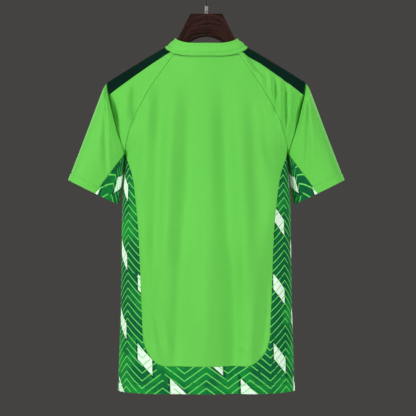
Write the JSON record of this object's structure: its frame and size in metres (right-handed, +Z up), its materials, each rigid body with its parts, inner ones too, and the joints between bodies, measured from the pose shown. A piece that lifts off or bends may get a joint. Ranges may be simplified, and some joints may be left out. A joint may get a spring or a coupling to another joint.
{
  "type": "football jersey on hanger",
  "caption": "Short-sleeved football jersey hanging by its shoulders on a flat wooden hanger with a metal hook, open at neck, cuffs and hem.",
  "frame": {"origin": "inside top of the hook's bend, where the hook rests on a rail", "axes": "+Z up, the back of the jersey faces -Y and its front +Y, and the wearer's right is +X"},
  "size_m": [0.6058, 0.1208, 0.9037],
  "materials": {
    "knit": "matt polyester knit",
    "rib": "matt rib knit",
    "print": "matt polyester knit with a printed pattern",
    "band": "matt knit",
    "wood": "dark stained, satin lacquer",
    "ferrule": "brushed",
    "hook": "black satin"
  },
  "bodies": {
    "root": {"back_panel": "knit", "front_panel": "knit", "side_and_hem_panel": "print", "shoulder_left": "knit", "shoulder_right": "knit", "shoulder_band_left": "band", "shoulder_band_right": "band", "sleeve_left": "knit", "sleeve_right": "knit", "gusset_left": "print", "gusset_right": "print", "collar": "rib", "hanger_left": "wood", "hanger_right": "wood", "hook_ferrule": "ferrule", "hook_wire": "hook"}
  },
  "joints": []
}
